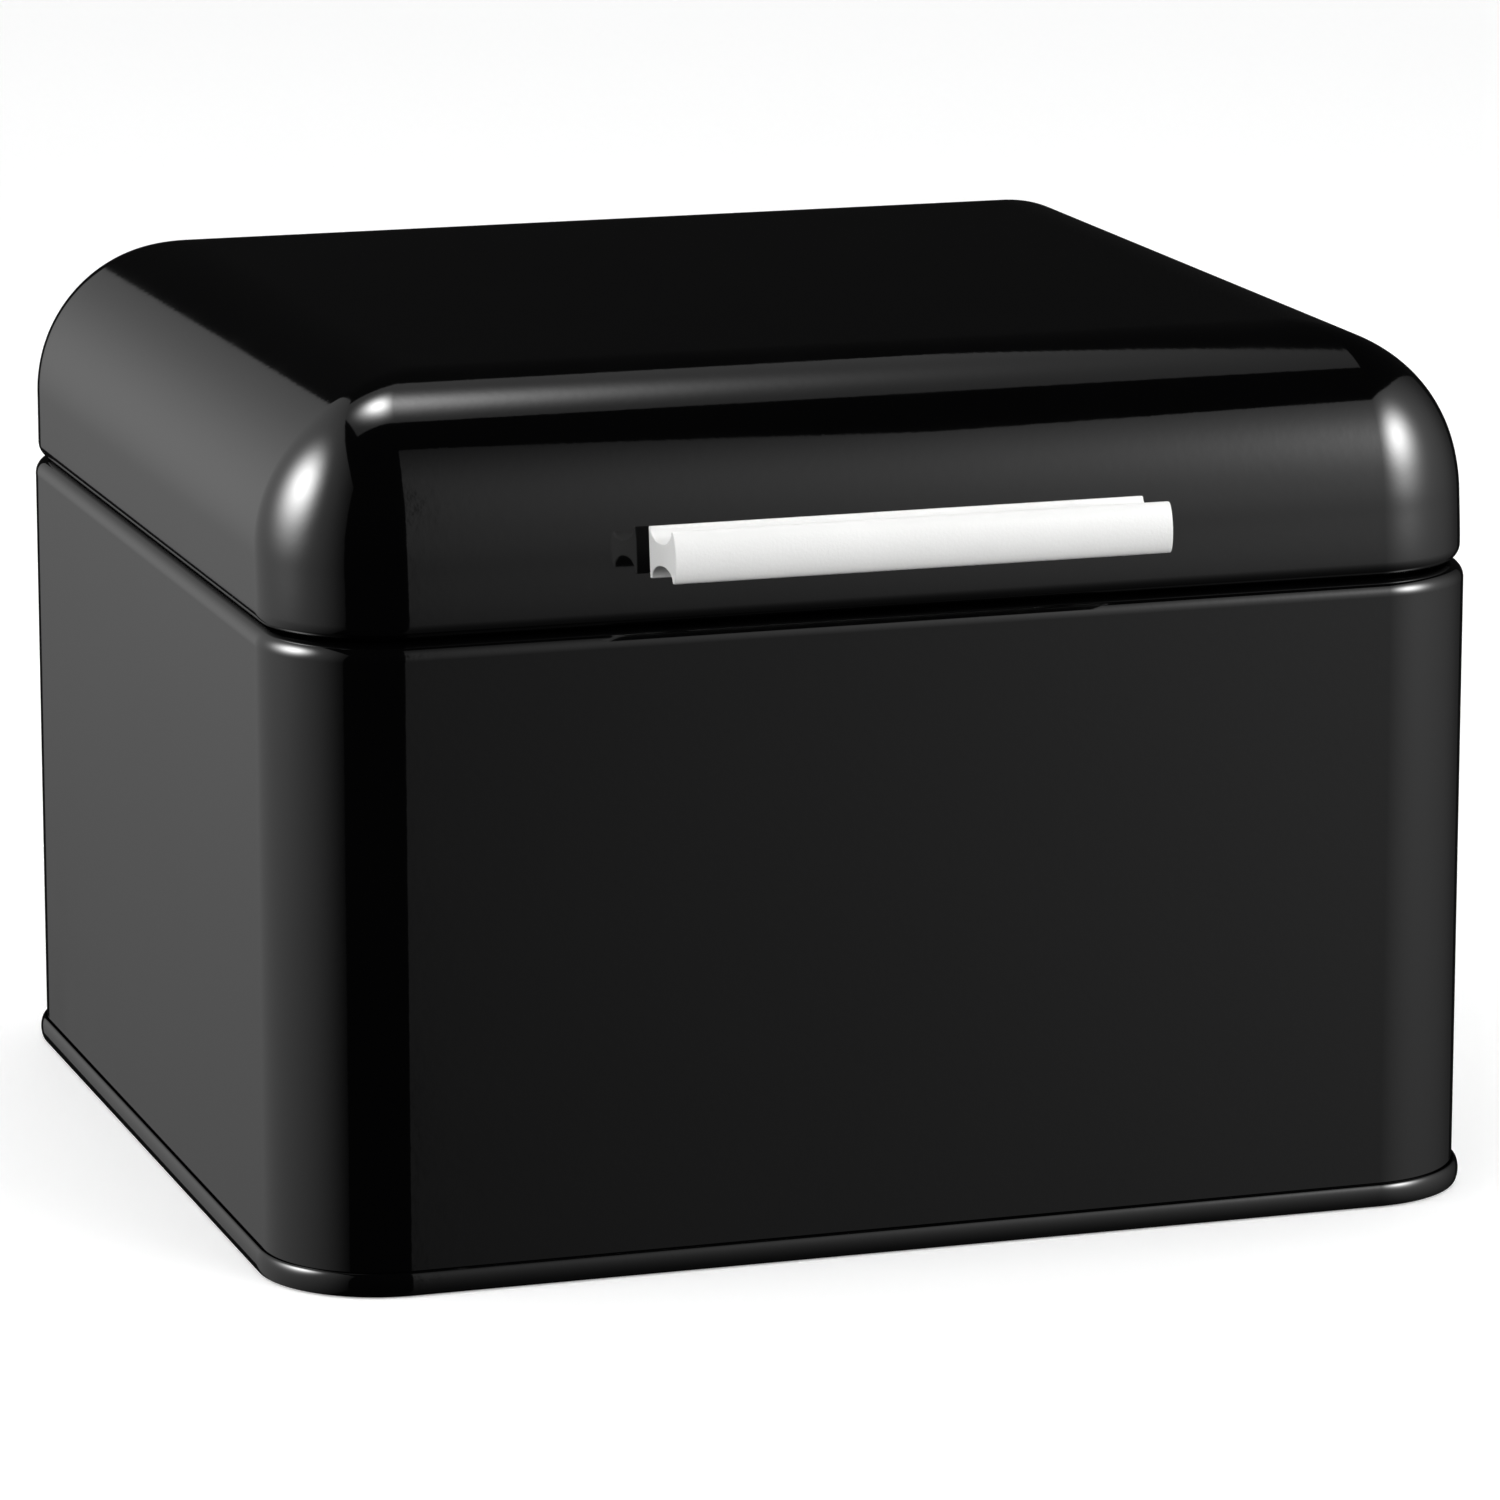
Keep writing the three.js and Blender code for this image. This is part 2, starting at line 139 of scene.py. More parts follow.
def ring(inset, z, radius, front_in):
    """One rounded rectangle round the box, counter-clockwise seen from above."""
    centre_x = WIDTH / 2 - inset - radius
    centre_y = DEPTH / 2 - inset - radius
    points = []
    for quarter, (sign_x, sign_y) in enumerate([(1, 1), (-1, 1), (-1, -1), (1, -1)]):
        shift = front_in if sign_y < 0 else 0
        for i in range(CORNER_STEPS + 1):
            angle = (quarter + i / CORNER_STEPS) * math.pi / 2
            points.append((
                sign_x * centre_x + radius * math.cos(angle),
                CENTRE_Y + sign_y * centre_y + radius * math.sin(angle) + shift,
                z,
            ))
    return points


def offset_corner(inset):
    return CORNER_RADIUS - inset


def lid_corner(inset):
    rest = CORNER_RADIUS - inset
    return (rest + math.hypot(rest, LID_CORNER_SOFTNESS)) / 2


def swept_sheet(name, profile, closed, radius_at, front_in_at=no_draw_in):
    """Sweeps a profile of (inset, z) round the box: a hoop if closed, else capped at both ends."""
    bm = bmesh.new()
    rings = []
    for inset, z in profile:
        rings.append([bm.verts.new(p) for p in ring(inset, z, radius_at(inset), front_in_at(z))])
    count = len(rings[0])
    spans = len(rings) if closed else len(rings) - 1
    for r in range(spans):
        low = rings[r]
        high = rings[(r + 1) % len(rings)]
        for i in range(count):
            j = (i + 1) % count
            bm.faces.new((low[i], low[j], high[j], high[i]))
    if not closed:
        bm.faces.new(list(reversed(rings[0])))
        bm.faces.new(rings[-1])
    obj = new_object(name, bm)
    crisp(obj)
    return obj


# ------------------------------------------------------------------ sheet metal

def body_wall():
    top = wall_high[2]
    inner = CURL_RADIUS - SHEET
    foot = wall_low[2]
    profile = [
        (0, foot),
        *arc(CURL_RADIUS, top - CURL_RADIUS, CURL_RADIUS, CURL_RADIUS, 180, 90, 14),
        (FLANGE_INSET, top),
        (FLANGE_INSET, top - SHEET),
        *arc(CURL_RADIUS, top - CURL_RADIUS, inner, inner, 90, 180, 14),
        (SHEET, foot),
    ]
    return swept_sheet("body_wall_sheet", profile, True, offset_corner)


def base_pan():
    floor_top = FLOOR_Z + SHEET
    half = BEAD_HEIGHT / 2
    profile = [
        (PANEL_INSET + 3 * MM, FLOOR_Z + PANEL_RISE),
        (PANEL_INSET, FLOOR_Z),
        (3.6 * MM, FLOOR_Z),
        (2.5 * MM, 0.3 * MM),
        (2.1 * MM, 0),
        (0.3 * MM, 0),
        *arc(-GAP, half, BEAD_PROUD - GAP, half, 240, 95, 16),
        (-GAP, BEAD_HEIGHT - 0.3 * MM),
        (-GAP, SHEET + GAP),
        (SHEET + GAP, SHEET + GAP),
        (SHEET + GAP, floor_top),
        (PANEL_INSET - 0.4 * MM, floor_top),
        (PANEL_INSET + 2.6 * MM, floor_top + PANEL_RISE),
    ]
    return swept_sheet("base_pan_sheet", profile, False, offset_corner)


def body_collar():
    inset = FLANGE_INSET + GAP
    leg_low = collar_low[2]
    leg_top = leg_low + SHEET
    lip = collar_high[2]
    round_lip = arc(inset + SHEET / 2, lip - SHEET / 2, -SHEET / 2, SHEET / 2, 0, 180, 8)
    profile = [
        (FLANGE_INSET - 3.5 * MM, leg_low),
        (FLANGE_INSET - 3.5 * MM, leg_top),
        (inset, leg_top),
        *round_lip,
        (inset + SHEET, leg_low),
    ]
    return swept_sheet("body_collar_sheet", profile, True, offset_corner)


def lid_shell():
    bottom = lid_low[2]
    inner_curl = CURL_RADIUS - SHEET
    curl_inset = LID_INSET + CURL_RADIUS
    curl_z = bottom + CURL_RADIUS
    tip = FLANGE_INSET - 0.4 * MM
    edge_inset = LID_INSET + LID_EDGE_ACROSS
    edge_z = LID_TOP - LID_EDGE_UP
    levels = [curl_z + (edge_z - curl_z) * i / 12 for i in range(1, 12)]
    profile = [
        *arc(edge_inset, edge_z, LID_EDGE_ACROSS - SHEET, LID_EDGE_UP - SHEET, 90, 180, 20),
        *[(LID_INSET + SHEET, z) for z in reversed(levels)],
        *arc(curl_inset, curl_z, inner_curl, inner_curl, 180, 270, 10),
        (tip, bottom + SHEET),
        (tip, bottom),
        *arc(curl_inset, curl_z, CURL_RADIUS, CURL_RADIUS, 270, 180, 14),
        *[(LID_INSET, z) for z in levels],
        *arc(edge_inset, edge_z, LID_EDGE_ACROSS, LID_EDGE_UP, 180, 90, 48),
    ]
    return swept_sheet("lid_shell_sheet", profile, False, lid_corner, draw_in)


# ------------------------------------------------------------------ handle

def handle_matrix():
    """Local frame of the bar: origin on the lid's outer surface, -Y out along the tilted axis."""
    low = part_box("handle_bar")[0]
    half = HANDLE_HEIGHT / 2
    front = HANDLE_STANDOFF + HANDLE_DEPTH
    sin, cos = math.sin(HANDLE_TILT), math.cos(HANDLE_TILT)
    reach = math.hypot(HANDLE_CROWN * cos, half * sin)
    y = low[1] + front * cos + reach
    z = low[2] - HANDLE_STANDOFF * sin + half * cos
    return Matrix.Translation((0, y, z)) @ Matrix.Rotation(-HANDLE_TILT, 4, "X")


def ellipse(cy, cz, ry, rz, start, end, steps):
    points = []
    for i in range(steps + 1):
        angle = math.radians(start + (end - start) * i / steps)
        points.append((cy + ry * math.cos(angle), cz + rz * math.sin(angle)))
    return points


def handle_section():
    half = HANDLE_HEIGHT / 2
    rear = -HANDLE_STANDOFF
    front = rear - HANDLE_DEPTH
    scoop_from = rear - REAR_FLANGE
    scoop_to = front + FRONT_TIP
    middle = (scoop_from + scoop_to) / 2
    scoop = (scoop_from - scoop_to) / 2
    return [
        (rear, -half),
        (rear, half),
        *ellipse(middle, half, scoop, SCOOP_DEPTH, 0, -180, 24),
        *ellipse(front, 0, HANDLE_CROWN, half, 90, 270, 28),
        *ellipse(middle, -half, scoop, SCOOP_DEPTH, 180, 0, 24),
    ]


def handle_bar():
    low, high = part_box("handle_bar")
    bm = bmesh.new()
    section = handle_section()
    near = [bm.verts.new((low[0], y, z)) for y, z in section]
    far = [bm.verts.new((high[0], y, z)) for y, z in section]
    bm.faces.new(near)
    bm.faces.new(list(reversed(far)))
    for i in range(len(section)):
        j = (i + 1) % len(section)
        bm.faces.new((near[j], near[i], far[i], far[j]))
    bm.transform(handle_matrix())
    obj = new_object("handle_bar_extrusion", bm)
    bevel = obj.modifiers.new("edges", "BEVEL")
    bevel.width = 0.25 * MM
    bevel.segments = 3
    bevel.limit_method = "ANGLE"
    bevel.angle_limit = math.radians(40)
    crisp(obj)
    return obj


# ------------------------------------------------------------------ turned pieces, in millimetres

SCREW_RADIUS = 1.5
SCREW_BORE = SCREW_RADIUS + 0.3
SCREW_REACH = 8                  # into the bar
HEAD_BACK = 2.3                  # underside of the head, from the lid's outer face
RING_RADIUS = 4.5                # spacers and washers
SPACER_START = -0.5              # just off the lid's outer face
SPACER_GAP = 0.3                 # to the back of the bar
WASHER_START = 1.2               # just off the lid's inner face
WASHER_END = 2.0
PIN_RADIUS = 1.2
PIN_HALF = 16.3
PIN_HEAD_RADIUS = 2.2
RIVET_RADIUS = 1.5
RIVET_HEAD = 1.8                 # outer head's underside, from the wall's outer face
RIVET_TAIL = -1.0                # set end's underside, inside the wall


def turned(name, profile, matrix):
    """Lathes (radius, y) pairs in millimetres round local Y."""
    bm = bmesh.new()
    rings = []
    for radius, y in profile:
        points = []
        for i in range(TURN_STEPS):
            angle = 2 * math.pi * i / TURN_STEPS
            points.append((radius * MM * math.cos(angle), y * MM, radius * MM * math.sin(angle)))
        rings.append([bm.verts.new(p) for p in points])
    for low, high in zip(rings, rings[1:]):
        for i in range(TURN_STEPS):
            j = (i + 1) % TURN_STEPS
            bm.faces.new((low[i], low[j], high[j], high[i]))
    bmesh.ops.remove_doubles(bm, verts=bm.verts, dist=1e-7)
    bm.transform(matrix)
    obj = new_object(name, bm)
    crisp(obj, 50)
    return obj


def softened(profile, radius=0.12, steps=3):
    """Rounds every corner of an open profile by a small radius."""
    points = [profile[0]]
    for before, corner, after in zip(profile, profile[1:], profile[2:]):
        c = Vector(corner)
        to_before = Vector(before) - c
        to_after = Vector(after) - c
        reach = min(radius, to_before.length / 3, to_after.length / 3)
        start = c + to_before.normalized() * reach
        end = c + to_after.normalized() * reach
        for i in range(steps + 1):
            t = i / steps
            points.append(tuple(start.lerp(c, t).lerp(c.lerp(end, t), t)))
    points.append(profile[-1])
    return points


def middle_of(node):
    low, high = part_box(node)
    return (low + high) / 2


def on_handle(node):
    """The bar's local frame, moved along the bar to a node's place."""
    return handle_matrix() @ Matrix.Translation((middle_of(node).x, 0, 0))


def handle_ring(node, start, end, rounding):
    """A plain ring round a handle screw, between two Y levels of the bar's frame."""
    middle = (SCREW_BORE + RING_RADIUS) / 2
    profile = [
        (middle, start),
        (RING_RADIUS, start),
        (RING_RADIUS, end),
        (SCREW_BORE, end),
        (SCREW_BORE, start),
        (middle, start),
    ]
    return turned(node + "_turned", softened(profile, rounding), on_handle(node))


def handle_spacer(node):
    return handle_ring(node, SPACER_START, SPACER_GAP - HANDLE_STANDOFF / MM, 0.12)


def handle_washer(node):
    return handle_ring(node, WASHER_START, WASHER_END, 0.2)


def handle_screw(node):
    tip = -HANDLE_STANDOFF / MM - SCREW_REACH
    head = [(3.4, 0), (3.4, 0.9), (3.2, 1.35), (2.7, 1.8), (1.6, 2.2), (0.55, 2.3)]
    recess = [(0.55, 1.3), (0, 1.2)]
    profile = [
        (0, tip),
        (SCREW_RADIUS - 0.4, tip),
        (SCREW_RADIUS, tip + 1),
        (SCREW_RADIUS, HEAD_BACK),
        *[(radius, HEAD_BACK + y) for radius, y in head + recess],
    ]
    return turned(node + "_turned", softened(profile), on_handle(node))


def hinge_pin(node):
    half = [
        (0, -PIN_HALF - 1),
        (PIN_HEAD_RADIUS - 0.2, -PIN_HALF - 1),
        (PIN_HEAD_RADIUS, -PIN_HALF),
        (PIN_RADIUS, -PIN_HALF),
    ]
    profile = softened(half + [(radius, -y) for radius, y in reversed(half)], 0.25)
    matrix = Matrix.Translation(middle_of(node)) @ Matrix.Rotation(math.pi / 2, 4, "Z")
    return turned(node + "_turned", profile, matrix)


def rivet(node):
    tail = [(0, RIVET_TAIL - 0.9), (2.2, RIVET_TAIL - 0.9), (2.4, RIVET_TAIL)]
    dome = [(2.9, 0), (2.85, 0.25), (2.6, 0.7), (2.2, 1.0), (1.7, 1.2), (0.9, 1.36), (0, 1.4)]
    profile = [
        *tail,
        (RIVET_RADIUS, RIVET_TAIL),
        (RIVET_RADIUS, RIVET_HEAD),
        *[(radius, RIVET_HEAD + y) for radius, y in dome],
    ]
    place_at = middle_of(node)
    place_at.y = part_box(node)[0].y + (0.9 - RIVET_TAIL) * MM
    return turned(node + "_turned", profile, Matrix.Translation(place_at))


# ------------------------------------------------------------------ hinge leaves, mm round the pin

LEAF_HALF = 16
LEAF_THICKNESS = 1.2
LEAF_BACK = -2.9
KNUCKLE = 2.9
KNUCKLE_BORE = 1.5
MIDDLE = 5.1
ARM_FROM = 5.5
LEAF_CLEAR = 3.4
CORNER = 2.2
BODY_LEAF_LOW = -22
LID_LEAF_HIGH = 13.5
TAB_FROM = 2                     # the stop tab, rolled out of the lid leaf's knuckle
TAB_TO = 7
TAB_HALF_THICKNESS = 0.6
TAB_LEAN = -86.56                # degrees; it meets the body leaf at 100 degrees of opening
STILL = Matrix.Identity(4)


def corner_arc(x, z, start):
    """Quarter circle at a plate's corner, from an angle in degrees, counter-clockwise."""
    points = []
    for i in range(7):
        angle = math.radians(start + 90 * i / 6)
        points.append((x + CORNER * math.cos(angle), z + CORNER * math.sin(angle)))
    return points


def add_plate(bm, outline, y0, y1, matrix=STILL):
    """A plate from an outline in (x, z), between two Y levels."""
    near = [bm.verts.new(matrix @ Vector((x, y0, z))) for x, z in outline]
    far = [bm.verts.new(matrix @ Vector((x, y1, z))) for x, z in outline]
    bm.faces.new(near)
    bm.faces.new(list(reversed(far)))
    for i in range(len(outline)):
        j = (i + 1) % len(outline)
        bm.faces.new((near[j], near[i], far[i], far[j]))


def add_knuckle(bm, x0, x1):
    """The sheet rolled round the pin, between two X levels."""
    rings = []
    for radius, x in [(KNUCKLE, x0), (KNUCKLE, x1), (KNUCKLE_BORE, x1), (KNUCKLE_BORE, x0)]:
        points = []
        for i in range(TURN_STEPS):
            angle = 2 * math.pi * i / TURN_STEPS
            points.append((x, radius * math.cos(angle), radius * math.sin(angle)))
        rings.append([bm.verts.new(p) for p in points])
    for a, b in zip(rings, rings[1:] + rings[:1]):
        for i in range(TURN_STEPS):
            j = (i + 1) % TURN_STEPS
            bm.faces.new((a[i], b[i], b[j], a[j]))


def finish_leaf(node, bm, side):
    pin = middle_of(f"hinge_{side}_pin")
    bm.transform(Matrix.Translation(pin) @ Matrix.Scale(MM, 4))
    obj = new_object(node + "_sheet", bm)
    bevel = obj.modifiers.new("edges", "BEVEL")
    bevel.width = 0.15 * MM
    bevel.segments = 2
    bevel.limit_method = "ANGLE"
    bevel.angle_limit = math.radians(50)
    crisp(obj, 45)
    return obj


def body_leaf(node, side):
    bm = bmesh.new()
    outline = [
        *corner_arc(-LEAF_HALF + CORNER, BODY_LEAF_LOW + CORNER, 180),
        *corner_arc(LEAF_HALF - CORNER, BODY_LEAF_LOW + CORNER, 270),
        (LEAF_HALF, 0), (ARM_FROM, 0), (ARM_FROM, -LEAF_CLEAR),
        (-ARM_FROM, -LEAF_CLEAR), (-ARM_FROM, 0), (-LEAF_HALF, 0),
    ]
    add_plate(bm, outline, LEAF_BACK, LEAF_BACK + LEAF_THICKNESS)
    add_knuckle(bm, -LEAF_HALF, -ARM_FROM)
    add_knuckle(bm, ARM_FROM, LEAF_HALF)
    return finish_leaf(node, bm, side)


def lid_leaf(node, side):
    bm = bmesh.new()
    back = LEAF_BACK - LID_INSET / MM
    outline = [
        (-LEAF_HALF, LEAF_CLEAR), (-MIDDLE, LEAF_CLEAR), (-MIDDLE, 0),
        (MIDDLE, 0), (MIDDLE, LEAF_CLEAR), (LEAF_HALF, LEAF_CLEAR),
        *corner_arc(LEAF_HALF - CORNER, LID_LEAF_HIGH - CORNER, 0),
        *corner_arc(-LEAF_HALF + CORNER, LID_LEAF_HIGH - CORNER, 90),
    ]
    add_plate(bm, outline, back, back + LEAF_THICKNESS)
    add_knuckle(bm, -MIDDLE, MIDDLE)
    tab = [(-MIDDLE, TAB_FROM), (MIDDLE, TAB_FROM), (MIDDLE, TAB_TO), (-MIDDLE, TAB_TO)]
    lean = Matrix.Rotation(math.radians(TAB_LEAN), 4, "X")
    add_plate(bm, tab, -TAB_HALF_THICKNESS, TAB_HALF_THICKNESS, lean)
    return finish_leaf(node, bm, side)


# ------------------------------------------------------------------ node material helpers

def node_tree(name):
    material = bpy.data.materials.new(name)
    material.use_nodes = True
    return material, material.node_tree.nodes, material.node_tree.links


def noise(nodes, links, coords, scale, detail=2.0, roughness=0.5):
    texture = nodes.new("ShaderNodeTexNoise")
    texture.inputs["Scale"].default_value = scale
    texture.inputs["Detail"].default_value = detail
    texture.inputs["Roughness"].default_value = roughness
    links.new(coords, texture.inputs["Vector"])
    return texture.outputs["Fac"]


def remap(nodes, links, value, from_low, from_high, to_low, to_high):
    node = nodes.new("ShaderNodeMapRange")
    node.inputs["From Min"].default_value = from_low
    node.inputs["From Max"].default_value = from_high
    node.inputs["To Min"].default_value = to_low
    node.inputs["To Max"].default_value = to_high
    links.new(value, node.inputs["Value"])
    return node.outputs["Result"]


def bump(nodes, links, height, strength, distance, normal=None):
    node = nodes.new("ShaderNodeBump")
    node.inputs["Strength"].default_value = strength
    node.inputs["Distance"].default_value = distance
    links.new(height, node.inputs["Height"])
    if normal is not None:
        links.new(normal, node.inputs["Normal"])
    return node.outputs["Normal"]


def ramp(nodes, links, value, low, high):
    node = nodes.new("ShaderNodeValToRGB")
    node.color_ramp.elements[0].color = low
    node.color_ramp.elements[1].color = high
    links.new(value, node.inputs["Fac"])
    return node.outputs["Color"]


def black_enamel():
    """Baked gloss enamel: faint orange peel, sheet waviness, and a thin haze of wipe marks."""
    material, nodes, links = node_tree("black_enamel_gloss")
    shader = nodes["Principled BSDF"]
    shader.inputs["IOR"].default_value = 1.5
    coords = nodes.new("ShaderNodeTexCoord").outputs["Object"]
    haze = noise(nodes, links, coords, 14, 4)
    links.new(ramp(nodes, links, haze, (0.0004, 0.0004, 0.00045, 1), (0.0009, 0.0009, 0.001, 1)),
              shader.inputs["Base Color"])
    wipe = noise(nodes, links, coords, 45, 5, 0.6)
    links.new(remap(nodes, links, wipe, 0.3, 0.7, 0.045, 0.075), shader.inputs["Roughness"])
    peel = noise(nodes, links, coords, 420, 2)
    wave = noise(nodes, links, coords, 9, 1)
    wavy = bump(nodes, links, wave, 0.02, 0.01)
    links.new(bump(nodes, links, peel, 0.012, 0.0006, wavy), shader.inputs["Normal"])
    return material


def white_paint():
    """Satin powder coat: fine pebble bump and slightly uneven sheen."""
    material, nodes, links = node_tree("white_powder_coat")
    shader = nodes["Principled BSDF"]
    coords = nodes.new("ShaderNodeTexCoord").outputs["Object"]
    tone = noise(nodes, links, coords, 30, 3)
    links.new(ramp(nodes, links, tone, (0.82, 0.82, 0.81, 1), (0.88, 0.88, 0.87, 1)),
              shader.inputs["Base Color"])
    sheen = noise(nodes, links, coords, 160, 3)
    links.new(remap(nodes, links, sheen, 0.3, 0.7, 0.34, 0.46), shader.inputs["Roughness"])
    pebble = noise(nodes, links, coords, 1500, 2)
    links.new(bump(nodes, links, pebble, 0.12, 0.0003), shader.inputs["Normal"])
    return material


def fine_grained(name, low, high, rough_low, rough_high, metallic):
    """A small hard piece: speckled tone, and a fine grain in its sheen and bump."""
    material, nodes, links = node_tree(name)
    shader = nodes["Principled BSDF"]
    shader.inputs["Metallic"].default_value = metallic
    coords = nodes.new("ShaderNodeTexCoord").outputs["Object"]
    tone = noise(nodes, links, coords, 220, 4, 0.6)
    links.new(ramp(nodes, links, tone, low, high), shader.inputs["Base Color"])
    grain = noise(nodes, links, coords, 700, 4, 0.6)
    links.new(remap(nodes, links, grain, 0.3, 0.7, rough_low, rough_high), shader.inputs["Roughness"])
    links.new(bump(nodes, links, grain, 0.1, 0.0002), shader.inputs["Normal"])
    return material


ENAMEL = black_enamel()
WHITE = white_paint()
STEEL = fine_grained("zinc_plate", (0.5, 0.51, 0.53, 1), (0.7, 0.7, 0.7, 1), 0.22, 0.4, 1.0)
HINGE = fine_grained("hinge_paint", (0.012, 0.012, 0.013, 1), (0.022, 0.022, 0.023, 1), 0.22, 0.34, 0.0)
NYLON = fine_grained("nylon", (0.68, 0.68, 0.66, 1), (0.78, 0.78, 0.76, 1), 0.4, 0.55, 0.0)


def dress(obj, material):
    obj.data.materials.clear()
    obj.data.materials.append(material)


# ------------------------------------------------------------------ the object

def place(obj, material, body, slot, *nodes):
    dress(obj, material)
    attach(obj, body)
    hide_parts(*nodes)


place(body_wall(), ENAMEL, "body", "black_enamel", "body_wall")
place(base_pan(), ENAMEL, "body", "black_enamel", "base_pan")
place(body_collar(), ENAMEL, "body", "black_enamel", "body_collar")
place(lid_shell(), ENAMEL, "lid", "black_enamel", "lid_shell")
place(handle_bar(), WHITE, "lid", "white_paint", "handle_bar")

for side in ("left", "right"):
    node = f"handle_spacer_{side}"
    place(handle_spacer(node), NYLON, "lid", "nylon", node)
    node = f"handle_washer_{side}"
    place(handle_washer(node), STEEL, "lid", "zinc_steel", node)
    node = f"handle_screw_{side}"
    place(handle_screw(node), STEEL, "lid", "zinc_steel", node)
    node = f"hinge_{side}_pin"
    place(hinge_pin(node), STEEL, "body", "zinc_steel", node)
    node = f"hinge_{side}_body_leaf"
    place(body_leaf(node, side), HINGE, "body", "black_hinge", node)
    node = f"hinge_{side}_lid_leaf"
    place(lid_leaf(node, side), HINGE, "lid", "black_hinge", node)
    for body in ("body", "lid"):
        for number in (1, 2):
            node = f"hinge_{side}_{body}_rivet_{number}"
            place(rivet(node), STEEL, body, "zinc_steel", node)


# ------------------------------------------------------------------ stage, light and camera

CAMERA_YAW = 18.01
CAMERA_PITCH = 12.66
CAMERA_LENS = 184.2
CAMERA_PLACE = (-0.5773, CENTRE_Y - 1.7961, 0.5158)
STUDIO_CENTRE = Vector((0, 0, 0.12))

ROOM_LIGHT = 0.75                # on the matt surfaces, from above
GROUND_LIGHT = 0.03              # on the matt surfaces, from below
DARK_WALLS = 0.01                # what the gloss mirrors past the softboxes

# Softboxes in units of their distance from the object: outlines, then lamps as
# (spot, core strength, core width, halo strength, halo width).
RIGHT_OUTLINE = [
    (-1.37, -3.1), (2.26, -3.1), (2.26, 0.5), (0.3, 0.88), (-0.6, 1.2), (-0.6, 1.85), (-0.68, 1.85),
    (-1.05, 1.05), (-1.29, 0.2), (-1.37, -0.45),
]
RIGHT_LAMPS = [((-0.284, 0.378), 22.5, 0.173, 4.17, 0.411)]
LEFT_OUTLINE = [
    (-1.29, -2.92), (3.08, -2.92), (3.08, 1.44), (-0.75, 1.44), (-1.1, 1.14), (-1.29, 0.98),
]
LEFT_LAMPS = [
    ((0.443, 0.348), 25.2, 0.215, 1.62, 0.953),
    ((-0.84, 0.12), 0.2, 0.22, 0.0, 1.0),
]
TOP_OUTLINE = [(-0.5, -0.76), (0.34, -0.76), (0.34, 0.1), (-0.5, 0.1)]
TOP_LAMPS = [((-0.031, -0.258), 20.9, 0.113, 0.126, 1.554)]


def toward(azimuth, elevation):
    """Unit vector, azimuth counter-clockwise from +X, both angles in degrees."""
    a, e = math.radians(azimuth), math.radians(elevation)
    return Vector((math.cos(e) * math.cos(a), math.cos(e) * math.sin(a), math.sin(e)))


def facing_centre(azimuth, elevation, distance, roll=0.0):
    """Matrix of a panel whose +Z looks at the object; its X runs towards growing azimuth."""
    out = toward(azimuth, elevation)
    along = toward(azimuth + 90, 0)
    up = out.cross(along)
    rotation = Matrix((along, up, out)).transposed().to_4x4()
    place_at = Matrix.Translation(STUDIO_CENTRE + distance * out)
    return place_at @ rotation @ Matrix.Rotation(math.radians(roll), 4, "Z")


def math_node(nodes, links, operation, value, other):
    node = nodes.new("ShaderNodeMath")
    node.operation = operation
    links.new(value, node.inputs[0])
    if isinstance(other, float):
        node.inputs[1].default_value = other
    else:
        links.new(other, node.inputs[1])
    return node.outputs[0]


def exponential(nodes, links, value, rate, height):
    """height * e^(rate * value)"""
    exponent = nodes.new("ShaderNodeMath")
    exponent.operation = "EXPONENT"
    links.new(math_node(nodes, links, "MULTIPLY", value, rate), exponent.inputs[0])
    return math_node(nodes, links, "MULTIPLY", exponent.outputs[0], height)


def glow_material(name, lamps, base):
    """Diffuser cloth with lamps behind it, each a bright core in a wide halo, over an even base."""
    material, nodes, links = node_tree(name)
    nodes.remove(nodes["Principled BSDF"])
    coords = nodes.new("ShaderNodeTexCoord").outputs["Object"]
    emission = nodes.new("ShaderNodeEmission")
    light = base
    for spot, core, core_width, halo, halo_width in lamps:
        offset = nodes.new("ShaderNodeVectorMath")
        offset.operation = "DISTANCE"
        offset.inputs[1].default_value = (spot[0], spot[1], 0)
        links.new(coords, offset.inputs[0])
        reach = offset.outputs["Value"]
        squared = math_node(nodes, links, "MULTIPLY", reach, reach)
        core_light = exponential(nodes, links, squared, -0.5 / core_width**2, core)
        halo_light = exponential(nodes, links, reach, -1 / halo_width, halo)
        lamp = math_node(nodes, links, "ADD", core_light, halo_light)
        light = math_node(nodes, links, "ADD", lamp, light)
    links.new(light, emission.inputs["Strength"])
    links.new(emission.outputs[0], nodes["Material Output"].inputs["Surface"])
    return material


def softbox(name, aim, corners, lamps, base):
    """A panel seen only in reflections. Sizes are in units of its distance from the object."""
    azimuth, elevation, distance, roll = aim
    bm = bmesh.new()
    bm.faces.new([bm.verts.new((x, y, 0)) for x, y in corners])
    panel = new_object(name, bm)
    panel.matrix_world = facing_centre(azimuth, elevation, distance, roll) @ Matrix.Scale(distance, 4)
    dress(panel, glow_material(name + "_glow", lamps, base))
    panel.visible_camera = False
    panel.visible_diffuse = False
    panel.visible_shadow = False


def soft_light(name, azimuth, elevation, distance, size, power):
    """An area light that shades the matt surfaces only."""
    data = bpy.data.lights.new(name, "AREA")
    data.shape = "SQUARE"
    data.size = size
    data.energy = power
    light = bpy.data.objects.new(name, data)
    light.matrix_world = facing_centre(azimuth, elevation, distance)
    light.visible_glossy = False
    light.visible_camera = False
    bpy.context.scene.collection.objects.link(light)


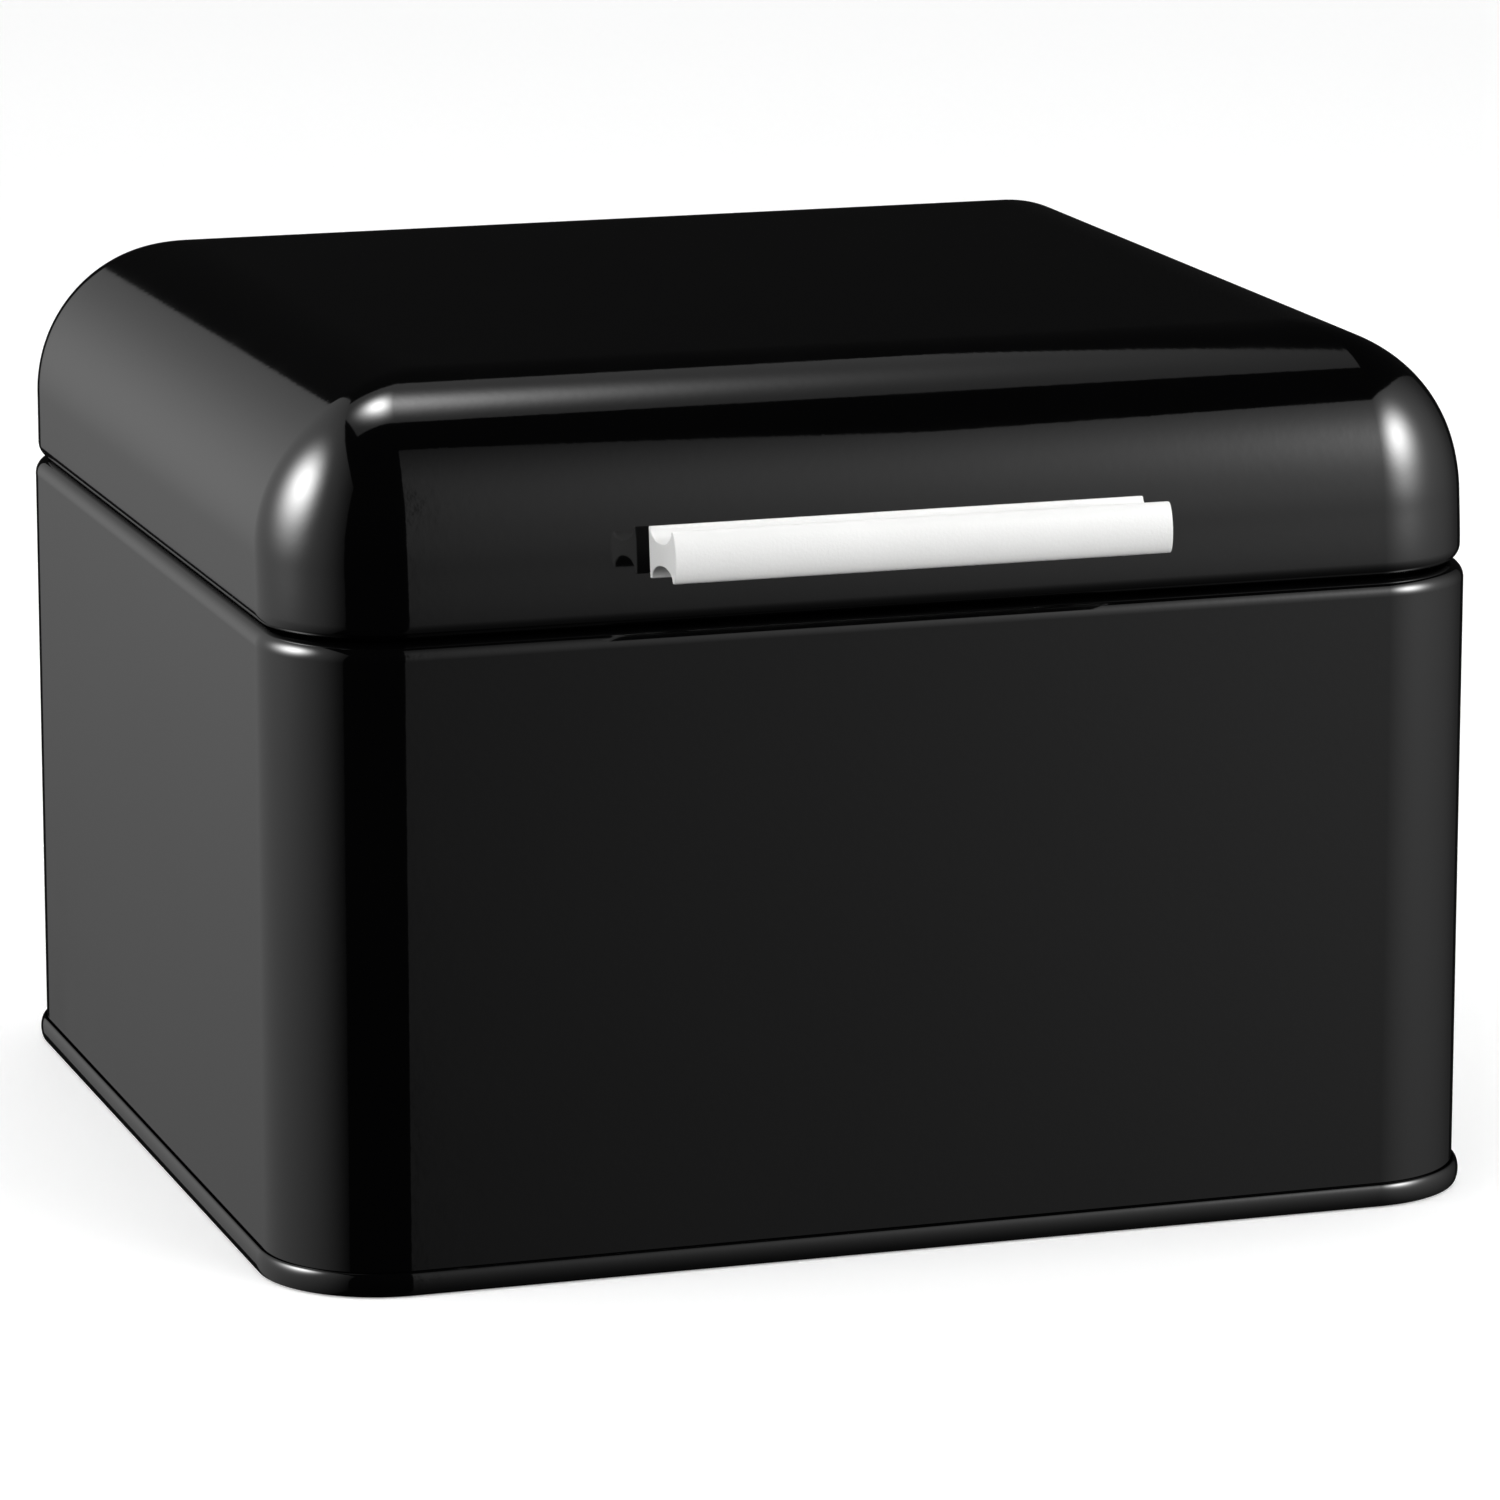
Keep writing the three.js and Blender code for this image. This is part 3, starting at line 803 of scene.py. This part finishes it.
def stage_floor():
    bm = bmesh.new()
    bmesh.ops.create_grid(bm, x_segments=2, y_segments=2, size=8)
    floor = new_object("studio_floor", bm)
    material, nodes, links = node_tree("floor_paper")
    shader = nodes["Principled BSDF"]
    shader.inputs["Roughness"].default_value = 0.9
    shader.inputs["Emission Color"].default_value = (1, 1, 1, 1)
    shader.inputs["Emission Strength"].default_value = 0.25
    coords = nodes.new("ShaderNodeTexCoord").outputs["Object"]
    tone = noise(nodes, links, coords, 3, 2)
    links.new(ramp(nodes, links, tone, (0.93, 0.93, 0.93, 1), (0.95, 0.95, 0.95, 1)),
              shader.inputs["Base Color"])
    dress(floor, material)
    floor.visible_glossy = False
    floor.visible_diffuse = False


def studio_world():
    """A pale room for the camera and the matt surfaces; dark walls for the gloss, past the softboxes."""
    world = bpy.data.worlds.new("studio")
    bpy.context.scene.world = world
    world.use_nodes = True
    nodes, links = world.node_tree.nodes, world.node_tree.links
    background = nodes["Background"]
    background.inputs["Color"].default_value = (1, 1, 1, 1)
    paths = nodes.new("ShaderNodeLightPath")
    split = nodes.new("ShaderNodeSeparateXYZ")
    links.new(nodes.new("ShaderNodeTexCoord").outputs["Generated"], split.inputs[0])
    room = remap(nodes, links, split.outputs["Z"], -0.1, 0.3, GROUND_LIGHT, ROOM_LIGHT)
    pale = math_node(nodes, links, "MAXIMUM", room, paths.outputs["Is Camera Ray"])
    keep = remap(nodes, links, paths.outputs["Is Glossy Ray"], 0, 1, 1, 0)
    dark = remap(nodes, links, paths.outputs["Is Glossy Ray"], 0, 1, 0, DARK_WALLS)
    lit = math_node(nodes, links, "MULTIPLY", pale, keep)
    links.new(math_node(nodes, links, "ADD", lit, dark), background.inputs["Strength"])


def camera():
    data = bpy.data.cameras.new("camera")
    data.sensor_width = 36
    data.lens = CAMERA_LENS
    data.clip_end = 20
    obj = bpy.data.objects.new("camera", data)
    obj.location = CAMERA_PLACE
    obj.rotation_euler = (math.radians(90 - CAMERA_PITCH), 0, math.radians(-CAMERA_YAW))
    bpy.context.scene.collection.objects.link(obj)
    bpy.context.scene.camera = obj


stage_floor()
studio_world()
softbox("softbox_right", (333.5, 5.5, 1.323, 0), RIGHT_OUTLINE, RIGHT_LAMPS, 0.05)
softbox("softbox_left", (154.3, 6.7, 1.0, 11.8), LEFT_OUTLINE, LEFT_LAMPS, 0.01)
softbox("softbox_top", (103, 85.9, 2.03, -10.6), TOP_OUTLINE, TOP_LAMPS, 0.25)
soft_light("light_right", 300, 12, 1.6, 1.0, 15)
soft_light("light_left", 184, 12, 1.6, 0.4, 10)
soft_light("light_top", 80, 80, 3.0, 3.0, 6)
camera()
bpy.context.scene.view_settings.view_transform = "Standard"
